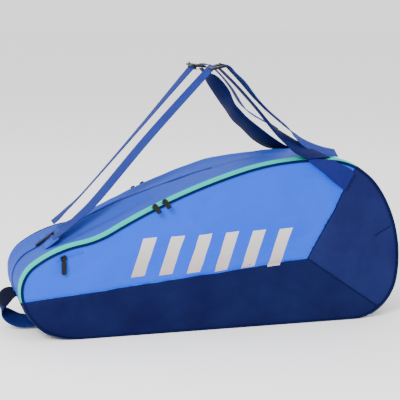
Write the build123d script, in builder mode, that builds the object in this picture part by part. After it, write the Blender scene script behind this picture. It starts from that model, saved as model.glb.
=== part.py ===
"""Racket tournament bag: a long soft bag for six rackets, with two zipped side covers, a zipped
centre compartment, a pocket, two shoulder straps and a grab loop.

Millimetres.  +X runs from the narrow end to the wide end, the front cover faces -Y, +Z is up.
The origin is the middle of the footprint, at floor level.
"""
import os
from math import atan2, cos, degrees, radians, sin

from build123d import *

os.makedirs("parts", exist_ok=True)

# ---------------------------------------------------------------- driving dimensions
face_y = 100.0          # outer face of a cover, from the middle plane
panel_thickness = 4.0   # padded cover panel
band_y = 96.0           # where a cover panel stops and the zip strip starts
crown_y = 77.0          # inner edge of the zip strip, where the crowned gusset starts
ridge_y = 6.0           # half width of the strip along the ridge
coil_y = 87.0           # middle of a side zip
zip_gap = 1.6           # gap between the two halves of a zip
coil_width = 1.2        # one half of a zip's coil
coil_height = 1.2
tape_skin = 2.0         # thickness of the strip that carries a zip
gusset_skin = 3.0       # thickness of the crowned gusset
base_skin = 3.0
fold_z = 70.0           # height of the line that a cover folds along
fold_gap = 1.0
divider_y = 33.0        # middle of each inner divider
divider_thickness = 3.0
piping_outset = 1.2
piping_depth = 2.6

# The side outline is a straight bottom and ten arcs, each (radius, turn), walked from the wide end.
side_start_x = 279.0
side_arcs = [
    (94.0, 82.3),
    (256.0, 43.1),
    (139.0, 49.7),
    (498.0, 20.7),
    (1182.0, 13.3),
    (182.0, -20.0),
    (203.0, 26.8),
    (58.0, 57.8),
    (97.6, 78.0),
    (293.0, 8.4),
]
# The middle of the gusset stands proud of its edges: the same walk along the ridge.
ridge_start_x = 280.0
ridge_arcs = [
    (96.0, 83.1),
    (257.0, 42.7),
    (142.0, 52.8),
    (695.0, 13.2),
    (1287.0, 12.7),
    (1287.0, 5.6),
    (400.0, -4.0),
    (58.0, 73.6),
    (105.5, 73.5),
    (301.0, 6.9),
]

seam_corner = (181.0, 131.0)     # where the three colours of a cover meet
seam_narrow = (-390.0, 75.0)     # seam between the light and the navy panel, at the narrow end
seam_top = (287.0, 325.0)        # seam of the end panel, at the top edge
seam_bottom = (340.0, 20.0)      # seam of the end panel, at the bottom corner
far_x = 450.0                    # past the bag each way, for cutting
far_z = 400.0

slider_length = 12.0
slider_reach = 4.5               # half width of a slider across the zip
plate_thickness = 1.6
plate_clearance = 1.0            # between the coil and a slider's top plate
low_plate_drop = 3.8             # from the skin's inner side to a slider's lower plate, past the crown's fall
ear_gap = 5.6
ear_thickness = 1.2
pin_radius = 0.8
eye_radius = 2.0
eye_hole_radius = 1.15
pull_width = 9.0
pull_thickness = 2.2


# ---------------------------------------------------------------- shared geometry
def outline(arcs, start_x, inset=0.0):
    """Closed outline inside a sketch, moved inwards by inset, which suits each arc's radius."""
    with BuildLine() as walk:
        point = Vector(start_x, inset)
        tangent = Vector(1, 0)
        for radius, turn in arcs:
            kept = radius - inset if turn > 0 else radius + inset
            piece = JernArc(start=point, tangent=tangent, radius=kept, arc_size=turn)
            point = piece @ 1
            tangent = piece % 1
        Line(point, (start_x, inset))
    make_face(walk.edges())


def arc_centre(arcs, start_x, index):
    """Centre of one arc of an outline, with the radius and the two end angles, seen from the centre."""
    x, z, heading = start_x, 0.0, 0.0
    for step, (radius, turn) in enumerate(arcs):
        side = 1.0 if turn > 0 else -1.0
        cx = x - radius * side * sin(radians(heading))
        cz = z + radius * side * cos(radians(heading))
        if step == index:
            return cx, cz, radius
        start = atan2(z - cz, x - cx)
        end = start + radians(turn)
        x = cx + radius * cos(end)
        z = cz + radius * sin(end)
        heading += turn
    return None


def upright(y):
    """The plane that faces the front, at one depth; its normal points to -Y."""
    return Plane.XZ.offset(-y)


def ring(y_low, y_high, outer_inset, inner_inset):
    """A band of the side outline between two depths, inside the current part."""
    with BuildSketch(upright(y_high)) as whole:
        outline(side_arcs, side_start_x, outer_inset)
    extrude(whole.sketch, amount=y_high - y_low)
    if inner_inset is not None:
        with BuildSketch(upright(y_high)) as hollow:
            outline(side_arcs, side_start_x, inner_inset)
        extrude(hollow.sketch, amount=y_high - y_low, mode=Mode.SUBTRACT)


def crown(side, skin):
    """The crowned half gusset on one side, from the zip strip's edge up to the ridge."""
    for inset, mode in ((0.0, Mode.ADD), (skin, Mode.SUBTRACT)):
        with BuildSketch(upright(side * crown_y)) as edge:
            outline(side_arcs, side_start_x, inset)
        with BuildSketch(upright(0.0)) as ridge:
            outline(ridge_arcs, ridge_start_x, inset)
        loft([edge.sketch, ridge.sketch], ruled=True, mode=mode)


def keep_block(x, y, z):
    """Keep only what lies in the block given by its limits on X, Y and Z."""
    size = [b - a for a, b in (x, y, z)]
    middle = [(a + b) / 2 for a, b in (x, y, z)]
    with Locations(tuple(middle)):
        Box(*size, mode=Mode.INTERSECT)


def depths(side, near, far):
    """The two depths between near and far on one side, lower one first."""
    return tuple(sorted((side * near, side * far)))


def finish(part, name):
    part.label = name
    export_step(part, f"parts/{name}.step")


whole_x = (-far_x, far_x)
above_fold = (fold_z + fold_gap / 2, far_z)
below_fold = (0.0, fold_z - fold_gap / 2)
sides = {"front": -1, "back": 1}

# ---------------------------------------------------------------- the body of the bag
zip_end_x = 14.0    # where the centre zip stops on the ridge

gussets = {}
for name, side in sides.items():
    with BuildPart() as gusset:
        crown(side, gusset_skin)
        keep_block(whole_x, depths(side, ridge_y, crown_y), (fold_z, far_z))
    finish(gusset.part, f"{name}_gusset")
    gussets[name] = gusset.part

for name, side in sides.items():
    with BuildPart() as centre_tape:
        crown(side, gusset_skin)
        keep_block((-far_x, zip_end_x), depths(side, zip_gap / 2, ridge_y), (fold_z, far_z))
    finish(centre_tape.part, f"{name}_centre_tape")

with BuildPart() as ridge_seam:
    crown(-1, gusset_skin)
    crown(1, gusset_skin)
    keep_block((zip_end_x, far_x), (-ridge_y, ridge_y), (fold_z, far_z))
finish(ridge_seam.part, "ridge_seam")

with BuildPart() as base_gusset:
    crown(-1, base_skin)
    crown(1, base_skin)
    ring(-band_y, -crown_y, 0.0, base_skin)
    ring(crown_y, band_y, 0.0, base_skin)
    keep_block(whole_x, (-band_y, band_y), (0.0, fold_z))
finish(base_gusset.part, "base_gusset")

for name, side in sides.items():
    with BuildPart() as divider:
        half = divider_thickness / 2
        ring(side * divider_y - half, side * divider_y + half, gusset_skin, None)
    finish(divider.part, f"{name}_divider")

for name, side in sides.items():
    near_gap = coil_y - zip_gap / 2
    with BuildPart() as zip_tape:
        ring(*depths(side, crown_y, near_gap), 0.0, tape_skin)
        keep_block(whole_x, (-far_x, far_x), (fold_z, far_z))
    finish(zip_tape.part, f"{name}_zip_tape")

    with BuildPart() as coil:
        ring(*depths(side, near_gap - coil_width, near_gap), -coil_height, 0.0)
        keep_block(whole_x, (-far_x, far_x), (fold_z, far_z))
    finish(coil.part, f"{name}_coil")

    with BuildPart() as low_panel:
        ring(*depths(side, band_y, face_y), 0.0, None)
        keep_block(whole_x, (-far_x, far_x), below_fold)
    finish(low_panel.part, f"{name}_low_panel")

# ---------------------------------------------------------------- the two covers
light_cut = [seam_narrow, seam_corner, seam_top, (seam_top[0], far_z), (-far_x, far_z), (-far_x, seam_narrow[1])]
navy_cut = [seam_narrow, seam_corner, seam_bottom, (seam_bottom[0], -20.0), (-far_x, -20.0), (-far_x, seam_narrow[1])]
end_cut = [seam_corner, seam_top, (seam_top[0], far_z), (far_x, far_z), (far_x, -20.0), (seam_bottom[0], -20.0), seam_bottom]

for name, side in sides.items():
    for piece, cut in (("light", light_cut), ("navy", navy_cut), ("end", end_cut)):
        with BuildPart() as cover_panel:
            ring(*depths(side, band_y, face_y), 0.0, None)
            with BuildSketch(upright(far_x)):
                with BuildLine():
                    Polyline(*cut, close=True)
                make_face()
            extrude(amount=2 * far_x, mode=Mode.INTERSECT)
            keep_block(whole_x, (-far_x, far_x), above_fold)
        finish(cover_panel.part, f"{name}_cover_{piece}")

    far_gap = coil_y + zip_gap / 2
    with BuildPart() as cover_tape:
        ring(*depths(side, far_gap, band_y), 0.0, tape_skin)
        keep_block(whole_x, (-far_x, far_x), above_fold)
    finish(cover_tape.part, f"{name}_cover_tape")

    with BuildPart() as cover_coil:
        ring(*depths(side, far_gap, far_gap + coil_width), -coil_height, 0.0)
        keep_block(whole_x, (-far_x, far_x), above_fold)
    finish(cover_coil.part, f"{name}_cover_coil")

    with BuildPart() as piping:
        ring(*depths(side, face_y + 0.8 - piping_depth, face_y + 0.8), -piping_outset, 0.0)
        keep_block(whole_x, (-far_x, far_x), above_fold)
    finish(piping.part, f"{name}_piping")

# The pocket's zip runs along the front cover, just inside its piping.
pocket_inset = 9.0
pocket_width = 6.0
pocket_left = -322.0
pocket_right = -262.0
with BuildPart() as pocket_zip:
    ring(-face_y - 1.0, -face_y, pocket_inset, pocket_inset + pocket_width)
    keep_block((pocket_left, pocket_right), (-far_x, far_x), (100.0, far_z))
finish(pocket_zip.part, "pocket_zip")

# The sewn ends of the padded straps, on the covers.
patch_corners = [(192.0, 325.0), (223.0, 293.0), (253.0, 268.0), (271.0, 295.0), (243.0, 321.0)]
patch_thickness = 2.0
for name, side in sides.items():
    with BuildPart() as strap_patch:
        with BuildSketch(upright(max(depths(side, face_y + 0.8, face_y + 0.8 + patch_thickness)))):
            with BuildLine():
                Polyline(*patch_corners, close=True)
            make_face()
        extrude(amount=patch_thickness)
        with BuildSketch(upright(max(depths(side, face_y, face_y + 0.8)))):
            with BuildLine():
                Polyline(*patch_corners[1:4], (251.0, 311.0), (205.0, 312.0), close=True)
            make_face()
        extrude(amount=0.8)
    finish(strap_patch.part, f"{name}_strap_patch")


# ---------------------------------------------------------------- zip sliders and pulls
def arc_place(centre, x, y):
    """Plane on an arc at one x: local X along the arc, local Z outwards."""
    cx, cz, radius = centre
    drop = (x - cx) / radius
    rise = (1.0 - drop * drop) ** 0.5
    origin = (x, y, cz + radius * rise)
    return Plane(origin=origin, x_dir=(rise, 0, -drop), z_dir=(drop, 0, rise))


def slider_body(place, reach_out, pin_y, pin_axis):
    """A slider: two plates joined through the gap, and two ears that hold the pull's pin.

    reach_out moves the top plate's middle sideways, pin_y is the pin's place across the zip.
    """
    under = coil_height + plate_clearance
    with BuildSketch(place.offset(under)) as top_plate:
        with Locations((0, reach_out)):
            RectangleRounded(slider_length, 2 * slider_reach + 2 * abs(reach_out), 2.0)
    extrude(top_plate.sketch, amount=plate_thickness)
    with BuildSketch(place.offset(-gusset_skin - low_plate_drop)) as low_plate:
        RectangleRounded(slider_length, 2 * slider_reach, 2.0)
    extrude(low_plate.sketch, amount=plate_thickness)
    post_start = gusset_skin + low_plate_drop - plate_thickness / 2
    with BuildSketch(place.offset(-post_start)) as post:
        Rectangle(3.0, zip_gap / 2)
    extrude(post.sketch, amount=post_start + under + plate_thickness / 2)
    top = under + plate_thickness
    ear_shift = (ear_gap + ear_thickness) / 2
    ears = [(-ear_shift, pin_y), (ear_shift, pin_y)] if pin_axis == "along" else [(0, -ear_shift), (0, ear_shift)]
    ear_size = (ear_thickness, 3.0) if pin_axis == "along" else (3.0, ear_thickness)
    with BuildSketch(place.offset(top - 0.2)) as both_ears:
        with Locations(*ears):
            Rectangle(*ear_size)
    extrude(both_ears.sketch, amount=pin_height - top + 1.5)
    pin_direction = place.x_dir if pin_axis == "along" else place.y_dir
    middle = place.from_local_coords((0, pin_y, pin_height))
    pin_start = middle - pin_direction * (ear_gap / 2 + 0.2)
    with BuildSketch(Plane(origin=pin_start, z_dir=pin_direction)) as pin:
        Circle(pin_radius)
    extrude(pin.sketch, amount=ear_gap + 0.4)


def pull_body(pin, axis, reach, length, hang=None):
    """A pull: an eye round the pin and a flat tab that reaches away from it.

    hang is the tab's own direction, where it hangs straight below a zip that slopes.
    """
    axis = Vector(*axis).normalized()
    reach = Vector(*reach)
    reach = (reach - axis * reach.dot(axis)).normalized()
    across = Plane(origin=pin, x_dir=reach, z_dir=axis)
    eye_width = ear_gap - 1.0
    with BuildSketch(across.offset(-eye_width / 2)) as eye:
        Circle(eye_radius)
        with Locations((3.0, 0)):
            Rectangle(6.0, pull_thickness * 0.7)
        Circle(eye_hole_radius, mode=Mode.SUBTRACT)
    extrude(eye.sketch, amount=eye_width)
    flat = Plane(origin=pin, x_dir=hang or reach, z_dir=reach.cross(axis))
    with BuildSketch(flat.offset(-pull_thickness / 2)) as tab:
        with Locations((5.5 + length / 2, 0)):
            RectangleRounded(length, pull_width, 3.0)
    extrude(tab.sketch, amount=pull_thickness)


pin_height = 7.4    # a pin's height over the zip strip
pull_length = 21.0
zip_arc = arc_centre(side_arcs, side_start_x, 4)
ridge_arc = arc_centre(ridge_arcs, ridge_start_x, 4)
slider_places = {"left": -122.0, "right": -103.0}
pin_across = 6.0    # how far a side slider's pin sits towards the cover

for name, side in sides.items():
    for which, x in slider_places.items():
        place = arc_place(zip_arc, x, side * coil_y)
        outward = side * pin_across
        with BuildPart() as slider:
            slider_body(place, side * 1.5, outward, "along")
        finish(slider.part, f"{name}_slider_{which}")
        with BuildPart() as pull:
            pin = place.from_local_coords((0, outward, pin_height))
            pull_body(pin, place.x_dir, (0, side * 0.88, -0.47), pull_length)
        finish(pull.part, f"{name}_pull_{which}")

centre_slider_x = -300.0
centre_pull_length = 34.0
place = arc_place(ridge_arc, centre_slider_x, 0.0)
with BuildPart() as centre_slider:
    slider_body(place, 0.0, 0.0, "across")
finish(centre_slider.part, "centre_slider")
with BuildPart() as centre_pull:
    pin = place.from_local_coords((0, 0, pin_height))
    pull_body(pin, (0, 1, 0), -place.x_dir - place.z_dir * 0.1, centre_pull_length)
finish(centre_pull.part, "centre_pull")

# The pocket's slider hangs on the front cover, under the piping.
pocket_arc = arc_centre(side_arcs, side_start_x, 6)
pocket_slider_x = -303.0
pocket_clear = 1.4                # from the cover's face to the slider's plate
pocket_drop = pocket_inset + pocket_width / 2
pocket_pin_y = -face_y - 6.0
edge_place = arc_place(pocket_arc, pocket_slider_x, 0.0)
slider_middle = edge_place.from_local_coords((0, 0, -pocket_drop))
with BuildPart() as pocket_slider:
    flat = Plane(
        origin=(slider_middle.X, -face_y - pocket_clear, slider_middle.Z),
        x_dir=edge_place.x_dir,
        z_dir=(0, -1, 0),
    )
    with BuildSketch(flat):
        RectangleRounded(slider_length, 2 * slider_reach, 2.0)
    extrude(amount=plate_thickness)
    ear_shift = (ear_gap + ear_thickness) / 2
    with BuildSketch(flat.offset(plate_thickness - 0.2)):
        with Locations((-ear_shift, 0), (ear_shift, 0)):
            Rectangle(ear_thickness, 3.0)
    extrude(amount=4.6)
    pin_middle = Vector(slider_middle.X, pocket_pin_y, slider_middle.Z)
    with BuildSketch(Plane(origin=pin_middle - edge_place.x_dir * (ear_gap / 2 + 0.2), z_dir=edge_place.x_dir)):
        Circle(pin_radius)
    extrude(amount=ear_gap + 0.4)
finish(pocket_slider.part, "pocket_slider")
pocket_pull_length = 25.0
with BuildPart() as pocket_pull:
    pull_body(pin_middle, edge_place.x_dir, (0, 0, -1), pocket_pull_length, hang=(0, 0, -1))
finish(pocket_pull.part, "pocket_pull")


# ---------------------------------------------------------------- straps
webbing_width = 32.0
webbing_thickness = 2.0
pad_thickness = 6.0
buckle_size = (30.0, 42.0, 4.0)
buckle_slot = (6.0, 35.0)


def ribbon(stations):
    """A flat band lofted through stations of (middle, width direction, width, thickness)."""
    sections = []
    for index, (middle, across, width, thickness) in enumerate(stations):
        before = Vector(*stations[max(index - 1, 0)][0])
        after = Vector(*stations[min(index + 1, len(stations) - 1)][0])
        with BuildSketch(Plane(origin=middle, x_dir=across, z_dir=after - before)) as section:
            Rectangle(width, thickness)
        sections.append(section.sketch)
    loft(sections)


# The two straps differ in how they hang: points are for the front strap as it stands, and for the
# back strap, with Y as the distance from the middle plane.
webbing_points = {
    "front": [(-292, 31, 193), (-262, 31, 217), (-222, 31, 254), (-122, 28, 368), (-6, 24, 489)],
    "back": [(-294, 33, 198), (-270, 34, 221), (-232, 36, 259), (-131, 32, 372), (-32, 24, 487)],
}
webbing_turn = {"front": [0.0, 0.1, 0.2, 0.2, 0.15], "back": [0.0, -0.15, -0.15, 0.1, 0.25]}
pad_points = {
    "front": [
        (24, 24, 491), (54, 28, 462), (89, 38, 422), (122, 54, 380),
        (142, 68, 361), (166, 82, 345), (192, 95, 335), (207, 103, 330),
    ],
    "back": [
        (2, 24, 486), (20, 27, 470), (43, 34, 443), (61, 42, 416),
        (78, 50, 396), (102, 58, 376), (140, 72, 350), (178, 86, 337), (205, 99, 332),
    ],
}
pad_across = {
    "front": [
        (0, 1, 0), (0, 0.98, -0.16), (-0.04, 0.97, -0.25), (-0.06, 0.95, -0.28),
        (-0.19, 0.92, -0.3), (-0.54, 0.81, -0.22), (-0.75, 0.6, -0.1), (-0.8, 0.5, -0.1),
    ],
    "back": [
        (0, 1, -0.1), (-0.25, 0.87, -0.4), (-0.25, 0.87, -0.4), (-0.06, 0.93, -0.35),
        (0, 0.88, -0.48), (0, 0.88, -0.45), (-0.4, 0.85, -0.25), (-0.7, 0.65, -0.1), (-0.8, 0.5, 0),
    ],
}
pad_widths = {"front": [34, 46, 56, 56, 54, 50, 50, 50], "back": [34, 40, 48, 54, 56, 56, 54, 50, 50]}
pad_depths = {"front": [3, 5, 6, 6, 6, 5, 4, 4], "back": [3, 4, 5, 6, 6, 6, 5, 4, 4]}
pad_end_y = 99.5      # a pad stops over the cover's edge, and its sewn end goes on down the cover
tail_points = {
    "front": [
        (35, 24, 500), (48, 24, 489), (66, 26, 472), (81, 30, 454), (95, 36, 438), (113, 42, 419),
        (147, 54, 388), (162, 58, 369), (182, 60, 356), (217, 58, 344), (250, 60, 333),
    ],
    "back": [
        (13, 24, 499), (36, 26, 480), (60, 30, 454), (82, 36, 427),
        (97, 42, 412), (115, 48, 398), (138, 52, 385), (164, 54, 372),
    ],
}
buckle_middles = {"front": (13, 24, 500), "back": (-14, 24, 499)}
buckle_tilt = {"front": 0.2, "back": -0.1}

for name, side in sides.items():
    def placed(point):
        return (point[0], side * point[1], point[2])

    with BuildPart() as webbing:
        turns = webbing_turn[name]
        ribbon([
            (placed(point), (-0.77 * turn, side * side, 0.64 * turn), webbing_width, webbing_thickness)
            for point, turn in zip(webbing_points[name], turns)
        ])
    finish(webbing.part, f"{name}_webbing")

    with BuildPart() as pad:
        ribbon([
            (placed(point), placed(across), width, thickness)
            for point, across, width, thickness in zip(*(table[name] for table in (pad_points, pad_across, pad_widths, pad_depths)))
        ])
        keep_block(whole_x, (-pad_end_y, pad_end_y), (0, 600))
    finish(pad.part, f"{name}_strap_pad")

    with BuildPart() as tail:
        ribbon([(placed(point), (0, 1, 0), 30.0, 1.6) for point in tail_points[name]])
    finish(tail.part, f"{name}_strap_tail")

    with BuildPart() as buckle:
        tilt = buckle_tilt[name]
        flat = Plane(origin=placed(buckle_middles[name]), x_dir=(1, 0, tilt), z_dir=(-tilt, 0, 1))
        with BuildSketch(flat.offset(-buckle_size[2] / 2)):
            RectangleRounded(buckle_size[0], buckle_size[1], 3.0)
            with Locations((-7.5, 0), (3.5, 0)):
                RectangleRounded(*buckle_slot, 1.0, mode=Mode.SUBTRACT)
        extrude(amount=buckle_size[2])
    finish(buckle.part, f"{name}_buckle")

    with BuildPart() as anchor:
        lie = Plane(origin=(-308, side * 31, 172.0), x_dir=(0.88, 0, 0.47), z_dir=(-0.47, 0, 0.88))
        with BuildSketch(lie.offset(-2.0)):
            Rectangle(22.0, 34.0)
        extrude(amount=8.0)
        add(gussets[name], mode=Mode.SUBTRACT)
    finish(anchor.part, f"{name}_anchor")

# ---------------------------------------------------------------- grab loop at the narrow end
loop_points = [(-377, 66), (-393, 68), (-403, 56), (-403, 40), (-392, 20), (-377, 6), (-352, 3), (-322, 4), (-312, 9)]
loop_width = 40.0
loop_thickness = 2.4
with BuildPart() as grab_loop:
    with BuildSketch(Plane.XZ):
        with BuildLine():
            FilletPolyline(*loop_points, radius=6.0)
        trace(line_width=loop_thickness)
    extrude(amount=loop_width / 2, both=True)
    add(base_gusset.part, mode=Mode.SUBTRACT)
    keep_block((-far_x, far_x), (-far_x, far_x), (0.5, far_z))
loop_outside = grab_loop.part.solids().sort_by(SortBy.VOLUME)[-1]
finish(loop_outside, "grab_loop")
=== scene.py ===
# %% [markdown]
# A racket tournament bag. The hard parts and every soft part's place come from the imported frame, in
# metres: +X runs to the wide end, the front cover faces -Y and the floor is at zero. The cloth is
# built here in mesh code, because its curves, seams and creases are what makes it read as a bag.

# %% the frame and the tools
from bisect import bisect_left
from math import ceil, cos, exp, hypot, pi, radians, sin

import bmesh
import bpy
from mathutils import Matrix, Vector, noise


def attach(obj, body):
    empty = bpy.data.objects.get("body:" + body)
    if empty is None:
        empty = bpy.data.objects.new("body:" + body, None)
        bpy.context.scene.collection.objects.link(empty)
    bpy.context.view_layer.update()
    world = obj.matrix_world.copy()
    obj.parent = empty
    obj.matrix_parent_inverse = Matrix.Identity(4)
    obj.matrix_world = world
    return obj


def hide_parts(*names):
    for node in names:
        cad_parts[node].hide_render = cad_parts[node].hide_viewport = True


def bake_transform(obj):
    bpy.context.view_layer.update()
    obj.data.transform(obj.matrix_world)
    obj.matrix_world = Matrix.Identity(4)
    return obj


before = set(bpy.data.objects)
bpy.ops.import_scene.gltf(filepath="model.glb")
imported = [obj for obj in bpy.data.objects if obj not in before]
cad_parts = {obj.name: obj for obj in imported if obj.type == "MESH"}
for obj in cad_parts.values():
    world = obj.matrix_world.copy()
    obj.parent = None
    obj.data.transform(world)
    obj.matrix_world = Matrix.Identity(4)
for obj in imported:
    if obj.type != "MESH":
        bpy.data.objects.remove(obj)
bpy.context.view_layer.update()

MM = 0.001

# %% [markdown]
# The side of the bag is a flat bottom and ten arcs. Walking the arcs gives points at even steps, and
# the same walk with other radii gives the ridge, which stands proud of the edges. Both walks are cut
# into the same spans, so a point of one has its partner on the other.

# %% the outline of the side and of the ridge
SIDE_START = 279.0
SIDE_ARCS = [
    (94.0, 82.3), (256.0, 43.1), (139.0, 49.7), (498.0, 20.7), (1182.0, 13.3),
    (182.0, -20.0), (203.0, 26.8), (58.0, 57.8), (97.6, 78.0), (293.0, 8.4),
]
RIDGE_START = 280.0
RIDGE_ARCS = [
    (96.0, 83.1), (257.0, 42.7), (142.0, 52.8), (695.0, 13.2), (1287.0, 12.7),
    (1287.0, 5.6), (400.0, -4.0), (58.0, 73.6), (105.5, 73.5), (301.0, 6.9),
]
STEP = 5.0      # spacing of the points along an outline, in millimetres


def walk(arcs, start_x, inset=0.0):
    """Points of the closed outline, with the outward direction at each."""
    x, z, heading = start_x, inset, 0.0
    points = []
    for (radius, turn), (side_radius, side_turn) in zip(arcs, SIDE_ARCS):
        bend = 1.0 if turn > 0 else -1.0
        kept = radius - bend * inset
        cx = x - kept * bend * sin(radians(heading))
        cz = z + kept * bend * cos(radians(heading))
        count = ceil(side_radius * radians(abs(side_turn)) / STEP)
        for k in range(count):
            now = heading + turn * k / count
            points.append((
                cx + kept * bend * sin(radians(now)), cz - kept * bend * cos(radians(now)),
                sin(radians(now)), -cos(radians(now)),
            ))
        heading += turn
        x = cx + kept * bend * sin(radians(heading))
        z = cz - kept * bend * cos(radians(heading))
    run = start_x - x
    count = ceil(abs(run) / STEP)
    for k in range(count):
        points.append((x + run * k / count, inset + (z - inset) * (1 - k / count), 0.0, -1.0))
    return points


SIDE = walk(SIDE_ARCS, SIDE_START)
RIDGE = walk(RIDGE_ARCS, RIDGE_START)
print("outline points", len(SIDE), len(RIDGE))


# %% heights of the outline over X
def profile(points):
    """Two sorted lists, the underside and the top, of (x, z)."""
    low = sorted((p[0], p[1]) for p in points if p[3] <= 0.0)
    top = sorted((p[0], p[1]) for p in points if p[3] > 0.0)
    return low, top


def height(line, x):
    k = bisect_left(line, (x, -1.0))
    if k <= 0:
        return line[0][1]
    if k >= len(line):
        return line[-1][1]
    (x0, z0), (x1, z1) = line[k - 1], line[k]
    return z0 + (z1 - z0) * (x - x0) / max(x1 - x0, 1e-9)


SIDE_LOW, SIDE_TOP = profile(SIDE)
print("top of the side above the middle", round(height(SIDE_TOP, 0.0), 1))

# %% how the empty bag settles
STRIP_LIFT = 4.6        # how far the gusset's edge stands over the piping, all round the bag
BACK_SAG = 13.0         # how far the empty back half settles, at its edge on the wide end


def ease(value):
    value = max(0.0, min(1.0, value))
    return value * value * (3 - 2 * value)


def settle(x, y, z):
    """The back half hangs lower than the front one, most along its top edge at the wide end."""
    if y <= 0.0:
        return (x, y, z)
    top = height(SIDE_TOP, x)
    share = ease((x - 15.0) / 110.0) * min(1.0, y / 97.0) ** 1.1 * max(0.0, min(1.1, z / top)) ** 2
    return (x, y, z - BACK_SAG * share)


print("the back edge settles", BACK_SAG, "mm")

# %% [markdown]
# The camera stands at the front left and a little above, with a long lens. The floor is pale and the
# light is soft, as in a studio: one big light from above on the left, one from the right and a pale
# world that fills the shadows.

# %% camera
CAMERA_TURN, CAMERA_RISE, CAMERA_ROLL = radians(-16.0), radians(11.38), radians(0.69)
CAMERA_AWAY = 2.4
CAMERA_AIM = Vector((-0.00964, 0.0, 0.23575))
LENS = 109.45

back = Vector((sin(CAMERA_TURN) * cos(CAMERA_RISE), -cos(CAMERA_TURN) * cos(CAMERA_RISE), sin(CAMERA_RISE)))
right = Vector((0, 0, 1)).cross(back).normalized()
up = back.cross(right)
turned_right = right * cos(CAMERA_ROLL) + up * sin(CAMERA_ROLL)
turned_up = up * cos(CAMERA_ROLL) - right * sin(CAMERA_ROLL)
lens = bpy.data.cameras.new("studio_camera")
lens.lens = LENS
lens.sensor_width = 36.0
camera = bpy.data.objects.new("studio_camera", lens)
bpy.context.scene.collection.objects.link(camera)
axes = Matrix((turned_right, turned_up, back)).transposed().to_4x4()
camera.matrix_world = Matrix.Translation(CAMERA_AIM + back * CAMERA_AWAY) @ axes
bpy.context.scene.camera = camera
print("camera at", [round(v, 3) for v in camera.location])


# %% floor and lights
def studio_light(name, place, size, power, tint=(1, 1, 1)):
    lamp = bpy.data.lights.new(name, "AREA")
    lamp.size = size
    lamp.energy = power
    lamp.color = tint
    holder = bpy.data.objects.new(name, lamp)
    bpy.context.scene.collection.objects.link(holder)
    holder.location = place
    holder.rotation_euler = (CAMERA_AIM - Vector(place)).to_track_quat("-Z", "Y").to_euler()


studio_light("key_light", (-1.5, -1.9, 1.7), 1.0, 105)
studio_light("fill_light", (2.0, -1.6, 1.0), 1.8, 16)
studio_light("rim_light", (0.1, 1.4, 2.0), 2.0, 14)

world = bpy.data.worlds.new("pale_room")
bpy.context.scene.world = world
world.use_nodes = True
world.node_tree.nodes["Background"].inputs["Color"].default_value = (1, 1, 1, 1)
world.node_tree.nodes["Background"].inputs["Strength"].default_value = 1.55

floor_mesh = bpy.data.meshes.new("floor")
floor_mesh.from_pydata([(-9, -9, 0), (9, -9, 0), (9, 9, 0), (-9, 9, 0)], [], [(0, 1, 2, 3)])
floor = bpy.data.objects.new("floor", floor_mesh)
bpy.context.scene.collection.objects.link(floor)
paper = bpy.data.materials.new("pale_paper")
paper.use_nodes = True
paper.node_tree.nodes["Principled BSDF"].inputs["Base Color"].default_value = (0.97, 0.97, 0.975, 1)
paper.node_tree.nodes["Principled BSDF"].inputs["Roughness"].default_value = 0.9
floor_mesh.materials.append(paper)
print("three soft lights over a pale floor")

# %% [markdown]
# Cloth shows a weave of crossing threads. The weave is a node group: two sine waves along the cloth's
# two directions, mixed so that over and under alternate. It gives a height for the bump, and a mask
# of painted shade that darkens the hollows between threads.


# %% helpers for node groups
def new_group(name, inputs, outputs):
    """A shader node group with float, vector or colour sockets."""
    group = bpy.data.node_groups.new(name, "ShaderNodeTree")
    kinds = {"f": "NodeSocketFloat", "v": "NodeSocketVector", "c": "NodeSocketColor"}
    for label, kind, value in inputs:
        socket = group.interface.new_socket(label, in_out="INPUT", socket_type=kinds[kind])
        if value is not None:
            socket.default_value = value
    for label, kind in outputs:
        group.interface.new_socket(label, in_out="OUTPUT", socket_type=kinds[kind])
    return group, group.nodes.new("NodeGroupInput"), group.nodes.new("NodeGroupOutput")


class Nodes:
    """Short ways to add and join nodes in one tree."""

    def __init__(self, tree):
        self.tree = tree

    def put(self, socket, value):
        if isinstance(value, bpy.types.NodeSocket):
            self.tree.links.new(value, socket)
        elif value is not None:
            socket.default_value = value

    def math(self, kind, a, b=None, c=None, clamp=False):
        node = self.tree.nodes.new("ShaderNodeMath")
        node.operation = kind
        node.use_clamp = clamp
        for socket, value in zip(node.inputs, (a, b, c)):
            self.put(socket, value)
        return node.outputs[0]

    def noise(self, place, scale, detail=3.0, rough=0.5):
        node = self.tree.nodes.new("ShaderNodeTexNoise")
        self.put(node.inputs["Vector"], place)
        self.put(node.inputs["Scale"], scale)
        node.inputs["Detail"].default_value = detail
        node.inputs["Roughness"].default_value = rough
        return node.outputs["Fac"]

    def mix(self, amount, a, b):
        node = self.tree.nodes.new("ShaderNodeMix")
        node.data_type = "RGBA"
        self.put(node.inputs[0], amount)
        self.put(node.inputs[6], a)
        self.put(node.inputs[7], b)
        return node.outputs[2]

    def ramp(self, value, low, high, clamp=True):
        node = self.tree.nodes.new("ShaderNodeMapRange")
        node.clamp = clamp
        self.put(node.inputs["Value"], value)
        self.put(node.inputs["From Min"], low)
        self.put(node.inputs["From Max"], high)
        return node.outputs["Result"]

    def split(self, vector):
        node = self.tree.nodes.new("ShaderNodeSeparateXYZ")
        self.put(node.inputs[0], vector)
        return node.outputs

    def join(self, x, y, z):
        node = self.tree.nodes.new("ShaderNodeCombineXYZ")
        for socket, value in zip(node.inputs, (x, y, z)):
            self.put(socket, value)
        return node.outputs[0]

    def use(self, group, **values):
        node = self.tree.nodes.new("ShaderNodeGroup")
        node.node_tree = group
        for label, value in values.items():
            self.put(node.inputs[label.replace("_", " ")], value)
        return node.outputs


print("node helpers ready")


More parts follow.
